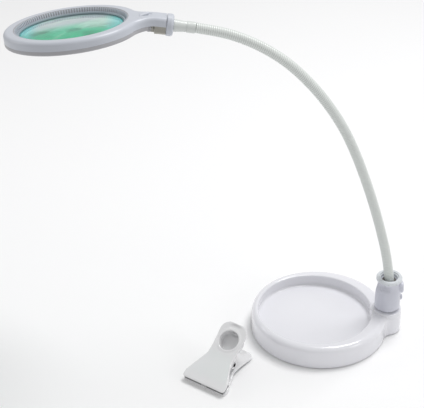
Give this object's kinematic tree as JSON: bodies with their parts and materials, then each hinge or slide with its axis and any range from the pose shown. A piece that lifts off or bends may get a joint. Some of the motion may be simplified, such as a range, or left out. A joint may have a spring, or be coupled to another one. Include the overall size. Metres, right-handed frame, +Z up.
{
  "type": "magnifying lamp",
  "caption": "Round ring-lit magnifying lens on a long bendable gooseneck that plugs into a weighted dish base, with a spring clip that takes the same plug.",
  "frame": {"origin": "centre of the round base, on its underside", "axes": "+Z up, the gooseneck leans over towards -X and stands in the XZ plane"},
  "size_m": [0.4536, 0.2155, 0.4195],
  "materials": {
    "satin_white_shell": "fine satin moulding",
    "grey_shell": "fine satin moulding, shaded grey",
    "switch_plastic": "satin",
    "inner_plastic": "moulded",
    "lens_glass": "polished, pale green",
    "gasket_rubber": "grey-blue rubber",
    "retainer_plastic": "grey-blue",
    "circuit_board": "white solder mask",
    "led_chip": "yellow phosphor",
    "frosted_cover": "frosted",
    "screw_steel": "zinc plated",
    "barrel_metal": "satin grey",
    "gooseneck_steel": "spiral wound strip under a white sleeve",
    "sleeve_white": "white",
    "anchor_brass": "turned",
    "stem_plastic": "satin gloss white",
    "clear_plastic": "translucent white",
    "jack_black": "black",
    "spring_steel": "spring wire",
    "base_white": "high gloss white",
    "plate_white": "moulded",
    "ballast": "painted",
    "pad_rubber": "ribbed anti-slip",
    "clip_white": "high gloss white",
    "tube_metal": "rolled tube",
    "jaw_rubber": "grey"
  },
  "bodies": {
    "base": {"base_shell": "base_white", "base_tray": "base_white", "base_bottom_plate": "plate_white", "base_weight": "ballast", "base_pad": "pad_rubber", "base_screws": "screw_steel", "socket_liner": "base_white"},
    "arm_plug": {"stem_plug": "clear_plastic"},
    "stem": {"stem_body_front": "stem_plastic", "stem_body_back": "stem_plastic", "stem_screws": "screw_steel", "stem_collar": "clear_plastic", "neck_anchor": "anchor_brass", "dc_jack": "jack_black", "button_spring": "spring_steel"},
    "release_button": {"release_button": "stem_plastic"},
    "neck_01": {"neck_span_01": "gooseneck_steel"},
    "neck_02": {"neck_span_02": "gooseneck_steel"},
    "neck_03": {"neck_span_03": "gooseneck_steel"},
    "neck_04": {"neck_span_04": "gooseneck_steel"},
    "neck_05": {"neck_span_05": "gooseneck_steel"},
    "neck_06": {"neck_span_06": "gooseneck_steel"},
    "neck_07": {"neck_span_07": "gooseneck_steel"},
    "neck_08": {"neck_span_08": "gooseneck_steel"},
    "neck_09": {"neck_span_09": "gooseneck_steel"},
    "neck_10": {"neck_span_10": "gooseneck_steel"},
    "neck_11": {"neck_span_11": "gooseneck_steel"},
    "neck_12": {"neck_span_12": "gooseneck_steel"},
    "neck_end": {"ferrule_top": "sleeve_white", "ferrule_sleeve": "sleeve_white"},
    "knuckle": {"hinge_barrel": "barrel_metal", "end_collar": "satin_white_shell"},
    "head": {"head_top_cover": "satin_white_shell", "head_bottom_cover": "grey_shell", "ribbed_ring": "satin_white_shell", "lens": "lens_glass", "lens_gasket": "gasket_rubber", "lens_retainer": "retainer_plastic", "lens_cell": "inner_plastic", "led_board": "circuit_board", "leds": "led_chip", "led_diffuser": "frosted_cover", "head_screws": "screw_steel", "switch_housing": "inner_plastic", "driver_board": "circuit_board", "hinge_pin": "screw_steel"},
    "power_switch": {"power_switch": "switch_plastic"},
    "clip_base": {"clip_lower_jaw": "clip_white", "clip_pivot_tube": "tube_metal", "clip_spring": "spring_steel", "lower_jaw_pads": "jaw_rubber"},
    "clip_top": {"clip_upper_jaw": "clip_white", "upper_jaw_pads": "jaw_rubber"}
  },
  "joints": [
    {"name": "arm_lift", "type": "slide", "parent": "base", "child": "arm_plug", "axis": [0, 0, 1], "range_m": [0, 0.04]},
    {"name": "arm_swivel", "type": "hinge", "parent": "arm_plug", "child": "stem", "pos_m": [0.0825, 0, 0.031], "axis": [0, 0, 1], "range_deg": [-170, 170]},
    {"name": "release_press", "type": "slide", "parent": "stem", "child": "release_button", "axis": [-1, 0, 0], "range_m": [0, 0.0015], "stiffness_N_per_m": 600, "springref_m": -0.0008, "deforming": ["button_spring"]},
    {"name": "neck_bend_lower", "type": "hinge", "parent": "stem", "child": "neck_01", "pos_m": [0.0825, 0, 0.072], "axis": [0, 1, 0], "range_deg": [-6, 12]},
    {"name": "neck_sway", "type": "hinge", "parent": "neck_01", "child": "neck_02", "pos_m": [0.07628, 0, 0.10707], "axis": [-0.973, 0, -0.2307], "range_deg": [-13, 13]},
    {"name": "neck_bend_02", "type": "hinge", "parent": "neck_02", "child": "neck_03", "pos_m": [0.06738, 0, 0.14164], "axis": [0, 1, 0], "range_deg": [-6, 12]},
    {"name": "neck_sway_03", "type": "hinge", "parent": "neck_03", "child": "neck_04", "pos_m": [0.05715, 0, 0.17584], "axis": [-0.9524, 0, -0.3049], "range_deg": [-13, 13]},
    {"name": "neck_bend_04", "type": "hinge", "parent": "neck_04", "child": "neck_05", "pos_m": [0.04561, 0, 0.20962], "axis": [0, 1, 0], "range_deg": [-6, 12]},
    {"name": "neck_sway_05", "type": "hinge", "parent": "neck_05", "child": "neck_06", "pos_m": [0.03279, 0, 0.24294], "axis": [-0.9261, 0, -0.3772], "range_deg": [-13, 13]},
    {"name": "neck_bend_06", "type": "hinge", "parent": "neck_06", "child": "neck_07", "pos_m": [0.01777, 0, 0.2753], "axis": [0, 1, 0], "range_deg": [-6, 12]},
    {"name": "neck_sway_07", "type": "hinge", "parent": "neck_07", "child": "neck_08", "pos_m": [-0.00094, 0, 0.30569], "axis": [-0.8192, 0, -0.5736], "range_deg": [-13, 13]},
    {"name": "neck_bend_upper", "type": "hinge", "parent": "neck_08", "child": "neck_09", "pos_m": [-0.02309, 0, 0.33365], "axis": [0, 1, 0], "range_deg": [-10, 12]},
    {"name": "neck_sway_09", "type": "hinge", "parent": "neck_09", "child": "neck_10", "pos_m": [-0.04868, 0, 0.35849], "axis": [-0.6309, 0, -0.7759], "range_deg": [-13, 13]},
    {"name": "neck_bend_10", "type": "hinge", "parent": "neck_10", "child": "neck_11", "pos_m": [-0.07831, 0, 0.3783], "axis": [0, 1, 0], "range_deg": [-10, 12]},
    {"name": "neck_sway_11", "type": "hinge", "parent": "neck_11", "child": "neck_12", "pos_m": [-0.11112, 0, 0.39226], "axis": [-0.3041, 0, -0.9526], "range_deg": [-13, 13]},
    {"name": "neck_bend_12", "type": "hinge", "parent": "neck_12", "child": "neck_end", "pos_m": [-0.14594, 0, 0.39989], "axis": [0, 1, 0], "range_deg": [-10, 12]},
    {"name": "head_swivel", "type": "hinge", "parent": "neck_end", "child": "knuckle", "pos_m": [-0.17562, 0, 0.40353], "axis": [-0.9925, 0, 0.1219], "range_deg": [-90, 90]},
    {"name": "head_tilt", "type": "hinge", "parent": "knuckle", "child": "head", "pos_m": [-0.19814, -0.00057, 0.40263], "axis": [0.0189, -0.988, 0.1536], "range_deg": [0, 75]},
    {"name": "power_slide", "type": "slide", "parent": "head", "child": "power_switch", "axis": [0.9938, 0.0353, 0.1053], "range_m": [0, 0.003]},
    {"name": "clip_lift", "type": "slide", "parent": "base", "child": "clip_base", "axis": [0, 0, 1], "range_m": [0, 0.05]},
    {"name": "clip_squeeze", "type": "hinge", "parent": "clip_base", "child": "clip_top", "pos_m": [-0.118, -0.084, 0.0151], "axis": [-0.8192, 0.5736, 0], "range_deg": [0, 28], "stiffness_Nm_per_rad": 1.2, "springref_deg": -20.05, "deforming": ["clip_spring"]}
  ],
  "couplings": [
    {"joint": "neck_bend_02", "follows": "neck_bend_lower", "ratio": 1},
    {"joint": "neck_sway_03", "follows": "neck_sway", "ratio": 1},
    {"joint": "neck_bend_04", "follows": "neck_bend_lower", "ratio": 1},
    {"joint": "neck_sway_05", "follows": "neck_sway", "ratio": 1},
    {"joint": "neck_bend_06", "follows": "neck_bend_lower", "ratio": 1},
    {"joint": "neck_sway_07", "follows": "neck_sway", "ratio": 1},
    {"joint": "neck_sway_09", "follows": "neck_sway", "ratio": 1},
    {"joint": "neck_bend_10", "follows": "neck_bend_upper", "ratio": 1},
    {"joint": "neck_sway_11", "follows": "neck_sway", "ratio": 1},
    {"joint": "neck_bend_12", "follows": "neck_bend_upper", "ratio": 1}
  ]
}
